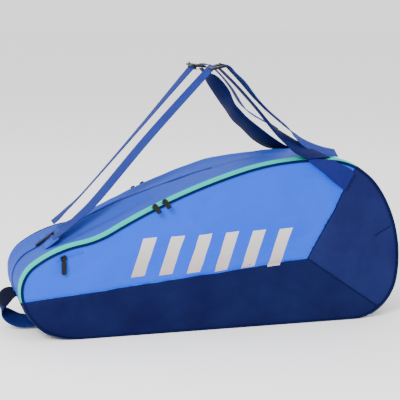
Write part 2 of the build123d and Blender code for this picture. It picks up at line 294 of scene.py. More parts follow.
# %% the weave group
def make_weave():
    group, given, result = new_group(
        "plain_weave",
        [("Place", "v", None), ("Threads", "f", 900.0)],
        [("Height", "f"), ("Hollow Shade", "f")],
    )
    n = Nodes(group)
    x, y, z = n.split(given.outputs["Place"])
    turns = n.math("MULTIPLY", given.outputs["Threads"], pi)
    warp = n.math("SINE", n.math("MULTIPLY", x, turns))
    weft = n.math("SINE", n.math("MULTIPLY", z, turns))
    depth = n.math("SINE", n.math("MULTIPLY", y, turns))
    over = n.math("MULTIPLY", warp, n.math("ADD", weft, depth))
    n.put(result.inputs["Height"], n.ramp(over, -1.5, 1.5))
    # Painted shade: this mask is high in the hollows between the threads.
    n.put(result.inputs["Hollow Shade"], n.ramp(n.math("ABSOLUTE", over), 0.45, 0.0))
    return group


WEAVE = make_weave()


# %% the broad mottle group: random blotches of painted shading in the colour, random roughness and crumple
def make_mottled_shade():
    group, given, result = new_group(
        "mottled_shade_cloth",
        [("Place", "v", None), ("Colour", "c", (0.1, 0.2, 0.7, 1)), ("Amount", "f", 0.2)],
        [("Colour", "c"), ("Rough", "f"), ("Crumple", "f")],
    )
    n = Nodes(group)
    place = given.outputs["Place"]
    cloud = n.noise(place, 9.0, 4.0, 0.6)
    fine = n.noise(place, 70.0, 3.0, 0.6)
    # Painted shading: where the cloud is high the colour mixes towards a greyer blue, in soft blotches.
    light = n.mix(n.math("MULTIPLY", n.ramp(cloud, 0.35, 0.75), given.outputs["Amount"]),
                  given.outputs["Colour"], (0.07, 0.13, 0.4, 1))
    n.put(result.inputs["Colour"], light)
    n.put(result.inputs["Rough"], n.math("MULTIPLY_ADD", fine, 0.16, 0.4))
    n.put(result.inputs["Crumple"], n.math("MULTIPLY_ADD", n.noise(place, 34.0, 2.0), 0.5, cloud))
    return group


MOTTLED_SHADE = make_mottled_shade()
print("cloth groups", [g.name for g in bpy.data.node_groups])

# %% [markdown]
# Every cloth of the bag uses the two groups with its own values. Coated polyester is smooth and has a
# soft gleam, so its roughness is near a half; the sheen input is there but no cloth uses it. Bump nodes
# in a chain add the crumple first and the threads on top.


# %% cloth materials
def cloth(name, colour, threads=900.0, painted_mottle=0.1, bump=0.25, crumple=0.25, sheen=0.0, rough=0.12,
          specular=0.06, extra=None):
    """A woven cloth; extra may change the colour and the height before they reach the shader."""
    material = bpy.data.materials.new(name)
    material.use_nodes = True
    tree = material.node_tree
    shader = tree.nodes["Principled BSDF"]
    n = Nodes(tree)
    place = tree.nodes.new("ShaderNodeTexCoord").outputs["Object"]
    # The mottle group paints blotches of shading into the colour and varies roughness and crumple.
    mottled = n.use(MOTTLED_SHADE, Place=place, Colour=(*colour, 1), Amount=painted_mottle)
    threads_out = n.use(WEAVE, Place=place, Threads=threads)
    # Painted shade: the hollows between threads take a darker copy of the colour.
    shade = n.mix(n.math("MULTIPLY", threads_out["Hollow Shade"], 0.35), mottled["Colour"],
                  tuple(v * 0.45 for v in colour) + (1,))
    height_out = threads_out["Height"]
    if extra:
        shade, height_out = extra(n, place, shade, height_out)
    n.put(shader.inputs["Base Color"], shade)
    n.put(shader.inputs["Roughness"], n.math("ADD", mottled["Rough"], rough))
    broad = tree.nodes.new("ShaderNodeBump")
    broad.inputs["Strength"].default_value = crumple
    broad.inputs["Distance"].default_value = 0.004
    n.put(broad.inputs["Height"], mottled["Crumple"])
    close = tree.nodes.new("ShaderNodeBump")
    close.inputs["Strength"].default_value = bump
    close.inputs["Distance"].default_value = 0.0004
    n.put(close.inputs["Height"], height_out)
    n.put(close.inputs["Normal"], broad.outputs["Normal"])
    n.put(shader.inputs["Normal"], close.outputs["Normal"])
    shader.inputs["Sheen Weight"].default_value = sheen
    shader.inputs["Sheen Roughness"].default_value = 0.4
    shader.inputs["Specular IOR Level"].default_value = specular
    return material


def ribbed(n, place, shade, height_out):
    """Crosswise ribs of a woven tape, along its own run."""
    x, y, z = n.split(place)
    run = n.math("ADD", x, n.math("MULTIPLY", z, 0.8))
    rib = n.math("SINE", n.math("MULTIPLY", run, 3600.0))
    # Painted shade: the colour darkens in the grooves between the ribs.
    dark = n.mix(n.ramp(rib, 0.9, -0.9), shade, (0.002, 0.004, 0.05, 1))
    return n.mix(0.25, shade, dark), n.math("MULTIPLY_ADD", rib, 0.5, height_out)


light_cloth = cloth("light_blue_cloth", (0.006, 0.066, 0.6), painted_mottle=0.14, crumple=0.8)
gusset_cloth = cloth("gusset_blue_cloth", (0.022, 0.062, 0.39), painted_mottle=0.12, crumple=0.8)
navy_cloth = cloth("navy_cloth", (0.0019, 0.0027, 0.037), painted_mottle=0.05, crumple=0.7)
end_cloth = cloth("end_panel_cloth", (0.006, 0.0078, 0.062), painted_mottle=0.07, crumple=0.7)
strip_cloth = cloth("turquoise_tape_cloth", (0.0, 0.43, 0.345), threads=1400, painted_mottle=0.1, crumple=0.1)
piping_cloth = cloth("navy_piping_cloth", (0.0008, 0.003, 0.035), threads=1400, painted_mottle=0.03, crumple=0.1)
webbing_cloth = cloth("blue_webbing", (0.012, 0.026, 0.2), threads=1100, painted_mottle=0.1, bump=0.6, extra=ribbed)
tail_cloth = cloth("pale_webbing", (0.018, 0.036, 0.23), threads=1100, painted_mottle=0.14, bump=0.6, extra=ribbed)
def loop_top_painted_shade(n, place, shade, height_out):
    """The upper half of the grab loop is darker, as painted shade."""
    shade, height_out = ribbed(n, place, shade, height_out)
    x, y, z = n.split(place)
    # Painted shade: above this height the loop's colour goes near black.
    return n.mix(n.ramp(z, 0.044, 0.05), shade, (0.0012, 0.002, 0.012, 1)), height_out


loop_cloth = cloth("navy_webbing", (0.005, 0.013, 0.1), threads=1100, painted_mottle=0.08, bump=0.6, extra=loop_top_painted_shade)
tab_cloth = cloth("navy_tab_cloth", (0.006, 0.0085, 0.1), threads=1000, painted_mottle=0.06, crumple=0.4)
pad_cloth = cloth("navy_pad_cloth", (0.0008, 0.0035, 0.055), threads=1000, painted_mottle=0.05, crumple=0.4)
lining_cloth = cloth("dark_lining", (0.02, 0.022, 0.04), threads=1200, painted_mottle=0.05)
def foil_painted_gleam(n, place, shade, height_out):
    """The foil print is brighter towards its upper edge, as a painted reflection."""
    x, y, z = n.split(place)
    # Painted reflection: the foil's colour brightens from its foot to its top.
    return n.mix(n.ramp(z, 0.11, 0.2), (0.34, 0.28, 0.27, 1), (0.5, 0.47, 0.47, 1)), height_out


silver_print = cloth("silver_print", (0.5, 0.46, 0.46), threads=900, bump=0.12, rough=-0.1, specular=0.4,
                     extra=foil_painted_gleam)
stitch_thread = cloth("navy_thread", (0.012, 0.022, 0.15), threads=3000, painted_mottle=0.0, crumple=0.0)
print("cloths", len(bpy.data.materials))


# %% moulded plastic and rubber
def moulded(name, colour, rough, grain, soft):
    material = bpy.data.materials.new(name)
    material.use_nodes = True
    tree = material.node_tree
    shader = tree.nodes["Principled BSDF"]
    n = Nodes(tree)
    place = tree.nodes.new("ShaderNodeTexCoord").outputs["Object"]
    speck = n.noise(place, grain, 4.0, 0.7)
    wear = n.ramp(n.noise(place, 120.0, 3.0), 0.55, 0.8)
    worn = tuple(v * 2.4 + 0.004 for v in colour)
    n.put(shader.inputs["Base Color"], n.mix(n.math("MULTIPLY", wear, soft), (*colour, 1), (*worn, 1)))
    n.put(shader.inputs["Roughness"], n.math("MULTIPLY_ADD", speck, 0.2, rough))
    bump = tree.nodes.new("ShaderNodeBump")
    bump.inputs["Strength"].default_value = 0.3
    bump.inputs["Distance"].default_value = 0.0002
    n.put(bump.inputs["Height"], speck)
    n.put(shader.inputs["Normal"], bump.outputs["Normal"])
    shader.inputs["Specular IOR Level"].default_value = 0.2
    return material


hard_plastic = moulded("moulded_black_plastic", (0.004, 0.004, 0.0045), 0.3, 1500.0, 0.5)
pull_rubber = moulded("matt_pull_rubber", (0.003, 0.003, 0.0033), 0.45, 2500.0, 0.3)
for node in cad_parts:
    part = bpy.data.objects.get(node)
    if part and ("slider" in node or "buckle" in node or "pull" in node):
        finish_for_it = pull_rubber if "pull" in node else hard_plastic
        for slot in part.material_slots:
            slot.material = finish_for_it
print("hardware has its plastic and rubber")

# %% [markdown]
# A face of the bag is a padded panel. It is laid out as columns across the outline, close together
# where the ends turn, so its border follows the arcs. The middle swells a little, the rim rolls in
# towards the piping, and along each seam the cloth dips.

# %% seams of a cover, in millimetres on X and Z
CORNER = (181.0, 131.0)
SEAM_NARROW = (-390.0, 75.0)
SEAM_TOP = (287.0, 325.0)
SEAM_BOTTOM = (340.0, 20.0)
SEAMS = [(CORNER, SEAM_NARROW), (CORNER, SEAM_TOP), (CORNER, SEAM_BOTTOM)]
DART = ((323.0, 168.0), (359.0, 187.0))    # a short stitched tuck that shapes the end panel
FACE = 100.0
COLUMNS, ROWS = 168, 84


def to_line(x, z, a, b):
    """Distance from a point to a piece of line."""
    ax, az = b[0] - a[0], b[1] - a[1]
    t = max(0.0, min(1.0, ((x - a[0]) * ax + (z - a[1]) * az) / (ax * ax + az * az)))
    return hypot(x - a[0] - ax * t, z - a[1] - az * t)


def to_rim(x, z):
    return min(hypot(x - p[0], z - p[1]) for p in SIDE)


# %% how far the cloth of a face stands out
# Each pull line has its top on X and Z, its slant, its width and its depth.
PULL_LINES = [
    (-108, 236, -0.8, 20, 1.3), (-70, 240, -0.75, 16, 1.0), (-290, 150, -1.2, 12, 0.9),
    (215, 280, -0.3, 14, 0.9), (110, 290, -0.5, 22, 0.8), (-20, 130, -1.3, 16, 1.5),
    (60, 128, -1.6, 12, 1.2), (-130, 112, -0.9, 14, 1.1), (150, 110, -1.0, 14, 1.1),
]


def swell(x, z, seed):
    """Millimetres that the face stands out at a point, beyond its flat place."""
    rim = to_rim(x, z)
    puff = 5.5 * (1 - exp(-((rim / 70.0) ** 2)))
    roll = -2.6 * exp(-rim / 2.2)
    seam = min(to_line(x, z, a, b) for a, b in SEAMS)
    dip = -1.7 * exp(-((seam / 3.0) ** 2)) + 0.7 * exp(-(((seam - 9.0) / 7.0) ** 2))
    spot = Vector((x * 0.011 + seed, z * 0.016, seed))
    ripple = 2.0 * noise.noise(spot) + 1.1 * noise.noise(spot * 2.7)
    # Slanting pull lines run down from the zip pulls and from the strap's sewn end.
    drag = 0.0
    for px, pz, slope, wide, deep in PULL_LINES:
        along = (pz - z)
        off = (x - px) + slope * along
        if along > -10:
            drag += deep * exp(-((off / wide) ** 2)) * exp(-((along - 45) / 60.0) ** 2)
    dart = -1.5 * exp(-((to_line(x, z, *DART) / 2.2) ** 2))
    return puff * 0.8 + roll + dip + dart + (1.5 * ripple + 3.2 * drag) * min(1.0, rim / 30.0)


def face_sheet(seed, inset=0.0):
    """Vertices and faces of one whole face of the bag, as (x, z, out) in millimetres."""
    left, wide = min(p[0] for p in SIDE) + inset + 0.02, max(p[0] for p in SIDE) - inset - 0.02
    spots, quads = [], []
    for i in range(COLUMNS + 1):
        x = (left + wide) / 2 - (wide - left) / 2 * cos(pi * i / COLUMNS)
        low, top = height(SIDE_LOW, x) + inset, height(SIDE_TOP, x) - inset
        for j in range(ROWS + 1):
            v = 0.5 - 0.5 * cos(pi * j / ROWS)
            v = 0.5 * v + 0.5 * j / ROWS
            z = low + (top - low) * v
            spots.append((x, z, swell(x, z, seed)))
    for i in range(COLUMNS):
        for j in range(ROWS):
            a = i * (ROWS + 1) + j
            quads.append((a, a + ROWS + 1, a + ROWS + 2, a + 1))
    return spots, quads


print("seam corner is", round(to_rim(*CORNER)), "mm from the rim")


# %% making an object from points
def make_piece(name, spots, faces, material):
    """A mesh object from points in millimetres, welded and shaded smooth."""
    mesh = bpy.data.meshes.new(name)
    mesh.from_pydata([tuple(v * MM for v in spot) for spot in spots], [], faces)
    mesh.materials.append(material)
    piece = bpy.data.objects.new(name, mesh)
    bpy.context.scene.collection.objects.link(piece)
    work = bmesh.new()
    work.from_mesh(mesh)
    bmesh.ops.remove_doubles(work, verts=work.verts, dist=0.00005)
    bmesh.ops.recalc_face_normals(work, faces=work.faces)
    work.to_mesh(mesh)
    work.free()
    mesh.shade_smooth()
    return piece


def thicken(piece, thickness, lining=None, outwards=0.0):
    """Give a sheet its thickness, with the lining as its inner material."""
    if lining:
        piece.data.materials.append(lining)
    shell = piece.modifiers.new("thickness", "SOLIDIFY")
    shell.thickness = thickness
    shell.offset = outwards
    shell.material_offset = 1 if lining else 0
    bpy.context.view_layer.objects.active = piece
    with bpy.context.temp_override(object=piece):
        bpy.ops.object.modifier_apply(modifier="thickness")
    piece.data.shade_smooth()


def cut_by(work, a, b, keep_left):
    """Cut a face sheet along the line from a to b on X and Z, and keep one side."""
    along = Vector((b[0] - a[0], 0, b[1] - a[1]))
    normal = Vector((-along.z, 0, along.x)).normalized()
    if not keep_left:
        normal = -normal
    bmesh.ops.bisect_plane(
        work, geom=work.verts[:] + work.edges[:] + work.faces[:],
        plane_co=Vector((a[0] * MM, 0, a[1] * MM)), plane_no=normal, clear_inner=True,
    )


# %% [markdown]
# Each cover is three panels sewn together, light, navy and end, and below the fold line they carry on
# down to the base. The navy and the end panel cross the fold and stay fixed in place, on neither the
# body nor the cover. The light one lies wholly above it.

# %% the panels of the two faces
SIDES = {"front": -1, "back": 1}
SWELL_SEED = {"front": 3.0, "back": 8.0}    # so that the two faces crease differently
PANELS = {
    "light": (light_cloth, "light_fabric", [(SEAM_NARROW, CORNER, True), (CORNER, SEAM_TOP, True)]),
    "navy": (navy_cloth, "navy_fabric", [(CORNER, SEAM_NARROW, True), (SEAM_BOTTOM, CORNER, True)]),
    "end": (end_cloth, "end_fabric", [(CORNER, SEAM_TOP, False), (CORNER, SEAM_BOTTOM, True)]),
}
FOLD = 70.0
for side_name, side in SIDES.items():
    spots, quads = face_sheet(SWELL_SEED[side_name])
    placed = [settle(x, side * (FACE - 1.6 + out), z) for x, z, out in spots]
    for panel, (material, slot, cuts) in PANELS.items():
        piece = make_piece(f"{side_name}_{panel}_panel", placed, quads, material)
        work = bmesh.new()
        work.from_mesh(piece.data)
        for a, b, keep_left in cuts:
            cut_by(work, a, b, keep_left)
        want = Vector((0, side, 0))
        for face in work.faces:
            if face.normal.dot(want) < 0:
                face.normal_flip()
        work.to_mesh(piece.data)
        work.free()
        thicken(piece, 0.0025, lining_cloth, -1.0)
        if panel == "light":
            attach(piece, f"{side_name}_cover_half")
            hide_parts(f"{side_name}_cover_light")
        else:
            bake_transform(piece)
            below = [f"{side_name}_low_panel"] if panel == "navy" else []
            replaced = [f"{side_name}_cover_{panel}"] + below
            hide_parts(*replaced)
        print(piece.name, len(piece.data.polygons), "faces")


# %% [markdown]
# The gusset is the long strip between the zips. It is lofted from the zip strip's edge to the ridge,
# and it is soft: it bellies between the two, creases under the ridge at the narrow end, and sags
# where the strap's end pulls on it.

# %% the gusset's surface
CROWN_EDGE = 77.0
RIDGE_HALF = 6.0


def gusset_point(k, t, side):
    """A point of the crowned gusset: k along the outline, t from the zip strip (0) to the ridge (1)."""
    (x0, z0, nx, nz), (x1, z1) = SIDE[k], RIDGE[k][:2]
    rise = sin(t * pi / 2) ** (1.1 if side < 0 else 0.7)
    x, z = x0 + (x1 - x0) * rise, z0 + (z1 - z0) * rise
    y = CROWN_EDGE * (1 - t)
    soft = STRIP_LIFT * (1 - t) ** 1.6
    if nz > 0.0:
        stretch = max(0.0, 1 - abs(x + 205.0) / 125.0)
        valley = exp(-(((t - 0.52) / 0.17) ** 2))
        soft -= (7.5 if side < 0 else 3.0) * min(1.0, stretch * 1.6) * valley
        swelling = exp(-(((t - 0.9) / 0.15) ** 2))
        soft += 3.0 * min(1.0, stretch * 1.6) * swelling
    if side > 0:
        soft += 4.5 * exp(-(((t - 0.16) / 0.16) ** 2)) * ease(nz * 1.5)
    spot = Vector((x * 0.013, y * 0.02 * side, z * 0.013 + 5 * side))
    edge = min(1.0, t / 0.15) * min(1.0, (1 - t) / 0.08 + 0.25)
    soft += (1.6 * noise.noise(spot) + 0.7 * noise.noise(spot * 3.1)) * edge
    return settle(x + nx * soft, side * y, max(0.15, z + nz * soft))


def span(points, low_z, high_z):
    """Indexes of the outline's points between two heights, as one run in order."""
    return [k for k, p in enumerate(points) if low_z <= p[1] <= high_z]


ABOVE = span(SIDE, FOLD - 0.5, 999.0)
print("gusset points above the fold", len(ABOVE))


# %% the blue gussets
def lofted(name, run, stations, point, material, closed=False):
    """A sheet over a run of outline points and a list of cross stations."""
    spots = [point(k, t) for k in run for t in stations]
    wide = len(stations)
    rows = len(run)
    faces = []
    for i in range(rows if closed else rows - 1):
        for j in range(wide - 1):
            a, b = i * wide + j, ((i + 1) % rows) * wide + j
            faces.append((a, b, b + 1, a + 1))
    return make_piece(name, spots, faces, material)


def steps(low, high, count):
    return [low + (high - low) * k / count for k in range(count + 1)]


RIDGE_T = 1 - RIDGE_HALF / CROWN_EDGE
for side_name, side in SIDES.items():
    gusset = lofted(f"{side_name}_gusset_cloth", ABOVE, steps(0.0, RIDGE_T, 18),
                    lambda k, t: gusset_point(k, t, side), gusset_cloth)
    thicken(gusset, 0.002, lining_cloth, -1.0)
    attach(gusset, "body")
    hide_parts(f"{side_name}_gusset")
    print(gusset.name, len(gusset.data.polygons), "faces")

# %% [markdown]
# Along the ridge the centre zip shows as a thin navy line between two folded lips of cloth. Past the
# zip's end the same line carries on as a plain seam.

# %% the ridge: lips and the centre zip
ZIP_END_X = 14.0
LIPS = {
    "front": [(1.0, 0.0), (0.95, 0.3), (0.88, -0.2), (0.82, -0.9)],
    "back": [(1.0, 0.0), (0.9, 0.9), (0.5, 2.0), (0.2, 1.9), (0.02, 1.0), (0.02, -0.6)],
}
TAPES = {
    "front": [(0.86, -0.8), (0.8, -0.3), (0.4, 0.1), (0.12, 0.3), (0.02, 0.2), (0.0, -0.6)],
    "back": [(0.4, -0.4), (0.2, -0.3), (0.03, -0.3), (0.0, -0.8)],
}


def ridge_point(k, part, side):
    """A point of the lip beside the ridge: part is (share of the half width, lift)."""
    x, z, nx, nz = RIDGE[k]
    base = gusset_point(k, 1 - RIDGE_HALF * part[0] / CROWN_EDGE, side)
    return (base[0] + nx * part[1], base[1], base[2] + nz * part[1])


ZIP_RUN = [k for k in ABOVE if RIDGE[k][0] <= ZIP_END_X]
SEAM_RUN = [k for k in ABOVE if RIDGE[k][0] >= ZIP_END_X - STEP]
for side_name, side in SIDES.items():
    lip = lofted(f"{side_name}_ridge_lip", ZIP_RUN, LIPS[side_name],
                 lambda k, part: ridge_point(k, part, side),
                 gusset_cloth)
    tape = lofted(f"{side_name}_centre_zip_tape", ZIP_RUN, TAPES[side_name],
                  lambda k, part: ridge_point(k, part, side), piping_cloth)
    for piece in (lip, tape):
        thicken(piece, 0.0009, None, -1.0)
        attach(piece, "body")
    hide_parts(f"{side_name}_centre_tape")


def seam_point(k, s):
    """The closed ridge: a stitched dip in the middle between two low swellings."""
    dip = -0.9 * exp(-((s / 0.14) ** 2))
    swelling = 0.5 * exp(-((abs(s) - 0.4) / 0.25) ** 2)
    return ridge_point(k, (abs(s), dip + swelling), -1 if s < 0 else 1)


seam = lofted("ridge_seam_cloth", SEAM_RUN, steps(-1.0, 1.0, 10), seam_point, gusset_cloth)
thicken(seam, 0.0015, None, -1.0)
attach(seam, "body")
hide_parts("ridge_seam")
print("ridge pieces", len(ZIP_RUN), len(SEAM_RUN))

# %% [markdown]
# The side zips lie in a turquoise strip just behind the piping. Half of the strip belongs to the body
# and half to the cover, and they meet at the coil. Each half is a flat tape that rolls up to a small
# ridge where the coil's teeth are sewn on.

# %% the turquoise strips
BODY_HALF = [(76.6, 4.2), (77.4, 5.1), (78.6, 4.9), (80.6, 3.7), (82.4, 2.4), (84.4, 1.9), (85.4, 2.1),
             (86.4, 1.9), (86.8, 0.9)]
COVER_HALF = [(87.2, 0.9), (87.6, 1.9), (88.6, 2.0), (89.8, 1.6), (93.0, 1.3), (95.6, 0.6), (97.6, -0.6)]


def strip_point(k, across, side):
    x, z, nx, nz = SIDE[k]
    return settle(x + nx * across[1], side * across[0], z + nz * across[1])


for side_name, side in SIDES.items():
    for part_name, section, body, gone in (
        ("body", BODY_HALF, "body", (f"{side_name}_zip_tape", f"{side_name}_coil")),
        ("cover", COVER_HALF, f"{side_name}_cover_half",
         (f"{side_name}_cover_tape", f"{side_name}_cover_coil")),
    ):
        strip = lofted(f"{side_name}_zip_strip_{part_name}", ABOVE, section,
                       lambda k, across: strip_point(k, across, side), strip_cloth)
        strip.data.materials.append(piping_cloth)
        for face in strip.data.polygons:
            face.material_index = 1 if face.center.x > (SEAM_TOP[0] + 1) * MM else 0
        thicken(strip, 0.0008, None, -1.0)
        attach(strip, body)
        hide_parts(*gone)
print("turquoise strips done")

# %% [markdown]
# Navy piping, a thin cord wrapped in cloth, finishes the edge of each face. It is a round tube along
# the whole outline, fixed in place across the fold as the navy and end panels are.

# %% piping
PIPING_RADIUS = 2.5
AROUND = 8
for side_name, side in SIDES.items():
    run = range(len(SIDE))
    turns = [2 * pi * q / AROUND for q in range(AROUND + 1)]

    def pipe_point(k, a):
        x, z, nx, nz = SIDE[k]
        out = 0.1 + PIPING_RADIUS * cos(a)
        if nz < -0.9:
            out = min(out, 0.0)
        return settle(x + nx * out, side * (99.0 + PIPING_RADIUS * sin(a)), max(0.1, z + nz * out))

    piping = lofted(f"{side_name}_piping_cord", run, turns, pipe_point, piping_cloth,
                    closed=True)
    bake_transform(piping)
    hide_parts(f"{side_name}_piping")
print("piping done")

# %% [markdown]
# The base is a navy strip that wraps the bottom and the low part of both ends.

# %% the base
LOW = [k for k in range(len(SIDE)) if SIDE[k][1] <= FOLD + 3.5]
LOW = [k for k in LOW if SIDE[k][0] < 0 and SIDE[k][3] > -1.0 or SIDE[k][3] <= 0]
START = next(i for i, k in enumerate(LOW) if k > 0 and (k - 1) not in LOW)
LOW = LOW[START:] + LOW[:START]


def base_point(k, y):
    """A point of the base strip at depth y, in millimetres."""
    side = -1 if y < 0 else 1
    depth = abs(y)
    if depth > CROWN_EDGE:
        x, z, nx, nz = SIDE[k]
        out = STRIP_LIFT * (98.0 - depth) / 21.0
        return (x + nx * out, y, max(0.1, z + nz * out))
    spot = gusset_point(k, 1 - depth / CROWN_EDGE, side)
    return (spot[0], y, max(0.1, spot[2]))


base = lofted("base_cloth", LOW, steps(-98.0, -78.0, 3) + steps(-77.0, 77.0, 30) + steps(78.0, 98.0, 3),
              base_point, navy_cloth)
thicken(base, 0.002, lining_cloth, -1.0)
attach(base, "body")
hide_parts("base_gusset")
print("base", len(base.data.polygons), "faces")

# %% inner dividers
for side_name, side in SIDES.items():
    spots, quads = face_sheet(13.0 + side, inset=6.0)
    placed = [settle(x, side * (33.0 + 0.12 * out), z - 3.0) for x, z, out in spots]
    divider = make_piece(f"{side_name}_divider_cloth", placed, quads, lining_cloth)
    thicken(divider, 0.0025, None, 0.0)
    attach(divider, "body")
    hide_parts(f"{side_name}_divider")
print("dividers done")

# %% [markdown]
# A strap is a flat band that follows a smooth line and twists as it goes. The band is made from
# stations: a middle point, the direction across and a width. Between stations the line is a smooth
# curve through the points. The padded part is the same band with a plump section and a bound edge.


# %% smooth bands
def smooth_line(points, count):
    """Points on a smooth curve through all the given points (any number of values each)."""
    result = []
    last = len(points) - 1
    for i in range(last):
        p0, p1, p2, p3 = (points[max(i - 1, 0)], points[i], points[i + 1], points[min(i + 2, last)])
        for k in range(count):
            t = k / count
            result.append([
                0.5 * (2 * b + (c - a) * t
                       + (2 * a - 5 * b + 4 * c - d) * t * t + (3 * b - a - 3 * c + d) * t ** 3)
                for a, b, c, d in zip(p0, p1, p2, p3)
            ])
    result.append(list(points[last]))
    return result


def band(name, stations, section, material, count=8, skewed=False):
    """Stations are (x, y, z, across x, y, z, width, depth); section is a closed list of (share, share).

    A skewed band keeps its given directions across, as where a strap is sewn down at a slant.
    """
    line = smooth_line(stations, count)
    spots, faces = [], []
    for i, here in enumerate(line):
        before, after = line[max(i - 1, 0)], line[min(i + 1, len(line) - 1)]
        along = (Vector(after[:3]) - Vector(before[:3])).normalized()
        across = Vector(here[3:6])
        if not skewed:
            across = across - along * across.dot(along)
        across.normalize()
        out = along.cross(across).normalized()
        for s, h in section:
            spots.append(Vector(here[:3]) + across * (s * here[6] / 2) + out * (h * here[7] / 2))
    ring = len(section)
    for i in range(len(line) - 1):
        for j in range(ring):
            a, b = i * ring + j, i * ring + (j + 1) % ring
            faces.append((a, b, b + ring, a + ring))
    faces.append(tuple(range(ring))[::-1])
    faces.append(tuple((len(line) - 1) * ring + j for j in range(ring)))
    return make_piece(name, spots, faces, material)


FLAT = [(-1, -0.5), (-0.97, -1), (-0.5, -1), (0, -1), (0.5, -1), (0.97, -1), (1, -0.5),
        (1, 0.5), (0.97, 1), (0.5, 1), (0, 1), (-0.5, 1), (-0.97, 1), (-1, 0.5)]
PLUMP = [(-1, -0.3), (-0.93, -0.45), (-0.86, -0.3), (-0.7, -0.8), (-0.4, -1), (0, -1.05), (0.4, -1),
         (0.7, -0.8), (0.86, -0.3), (0.93, -0.45), (1, -0.3),
         (1, 0.3), (0.93, 0.45), (0.86, 0.3), (0.7, 0.8), (0.4, 1), (0, 1.05), (-0.4, 1), (-0.7, 0.8),
         (-0.86, 0.3), (-0.93, 0.45), (-1, 0.3)]
print("band sections", len(FLAT), len(PLUMP))

# %% where the straps run, in millimetres, with Y as the distance from the middle
WEBBING_RUN = {
    "front": [(-308, 31, 180, 0.0), (-292, 31, 192, 0.0), (-262, 31, 217, 0.1), (-222, 31, 254, 0.2),
              (-122, 28, 368, 0.2), (-6, 24, 490, 0.15), (4, 24, 498, 0.1)],
    "back": [(-298, 33, 197.5, 0.0), (-288, 33, 205.5, 0.0), (-270, 34, 222, -0.1), (-233, 36, 257, -0.2),
             (-131, 32, 371, -0.12), (-32, 24, 486, 0.05), (-22, 24, 496, 0.1)],
}
# Each pad station: the middle, the direction towards the outer edge, the width and the thickness.
PAD_RUN = {
    "front": [
        (18, 24, 497, 0, 1, 0, 32, 3), (26, 24, 490, 0, 1, 0, 34, 3), (54, 28, 462, 0, 0.98, -0.12, 44, 5),
        (89, 38, 422, -0.04, 0.97, -0.2, 54, 6), (122, 54, 380, -0.06, 0.95, -0.28, 56, 6),
        (143, 68, 361, -0.19, 0.92, -0.32, 54, 6), (167, 82, 344, -0.54, 0.81, -0.22, 51, 5),
        (190, 93, 333, -0.75, 0.6, -0.1, 50, 4), (202, 99, 328, -0.95, 0.3, 0.04, 54, 3.5),
    ],
    "back": [
        (-4, 24, 493, 0, 1, -0.1, 32, 3), (4, 24, 485, 0, 1, -0.1, 35, 4),
        (20, 27, 470, -0.25, 0.87, -0.4, 40, 5),
        (43, 34, 443, -0.25, 0.87, -0.4, 48, 6), (61, 42, 416, -0.06, 0.93, -0.35, 54, 6),
        (78, 50, 396, 0, 0.88, -0.48, 56, 6), (102, 58, 375, 0, 0.88, -0.45, 56, 5),
        (140, 68, 345, -0.4, 0.85, -0.25, 54, 4), (176, 82, 324, -0.7, 0.65, -0.1, 50, 4),
        (203, 98, 316, -0.9, 0.3, 0, 50, 3.5),
    ],
}
TAIL_RUN = {
    "front": [
        (22, 24, 506, 0, 1, 0), (35, 24, 501, 0, 1, 0.1), (48, 24, 488, 0, 1, 0.1), (66, 26, 470, 0, 1, 0.18),
        (81, 30, 451, 0, 1, 0.1), (93, 36, 436, 0, 1, 0), (112, 42, 416, 0, 1, 0),
        (147, 54, 385, 0, 1, -0.05),
        (162, 58, 370, -0.1, 1, -0.3), (184, 62, 352, -0.3, 0.9, -0.35), (217, 62, 338, -0.4, 0.8, -0.3),
        (250, 62, 331, -0.4, 0.8, -0.25),
    ],
    "back": [
        (-4, 24, 501, 0, 1, 0), (13, 24, 499, 0, 1, 0), (36, 26, 480, 0, 1, 0.1), (60, 30, 453, 0, 1, 0.1),
        (80, 36, 424, 0, 1, 0.1), (94, 42, 409, 0, 1, 0.15), (113, 48, 396, 0, 1, 0.15),
        (138, 52, 382, 0, 1, 0.1),
        (164, 54, 369, 0, 1, 0.1),
    ],
}


def band_stations(run, side, width=None, depth=None):
    """Mirror the stations to their side; a width and depth are added where a station has none."""
    return [
        (x, side * y, z, ax, side * ay, az, *(size or (width, depth)))
        for x, y, z, ax, ay, az, *size in run
    ]


# %% the straps
for side_name, side in SIDES.items():
    turned = [(x, side * y, z, -0.77 * turn, 1.0, 0.64 * turn) for x, y, z, turn in WEBBING_RUN[side_name]]
    webbing = band(f"{side_name}_webbing_band", [(*station, 32.0, 1.8) for station in turned],
                   FLAT, webbing_cloth)
    pad = band(f"{side_name}_pad", band_stations(PAD_RUN[side_name], side), PLUMP, pad_cloth,
               skewed=True)
    tail = band(f"{side_name}_tail_band", band_stations(TAIL_RUN[side_name], side, 30.0, 1.6),
                FLAT, tail_cloth)
    for piece, node in ((webbing, "webbing"), (pad, "strap_pad"), (tail, "strap_tail")):
        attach(piece, f"{side_name}_strap")
        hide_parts(f"{side_name}_{node}")
print("straps done")

# %% [markdown]
# The pad's end goes on over the edge of the bag as a flat tab, sewn into the seam of the end panel.
# At the other end is a folded patch with a box of stitches. The front webbing runs into its patch; the
# back webbing ends 11 mm above its own, which is a known fault.

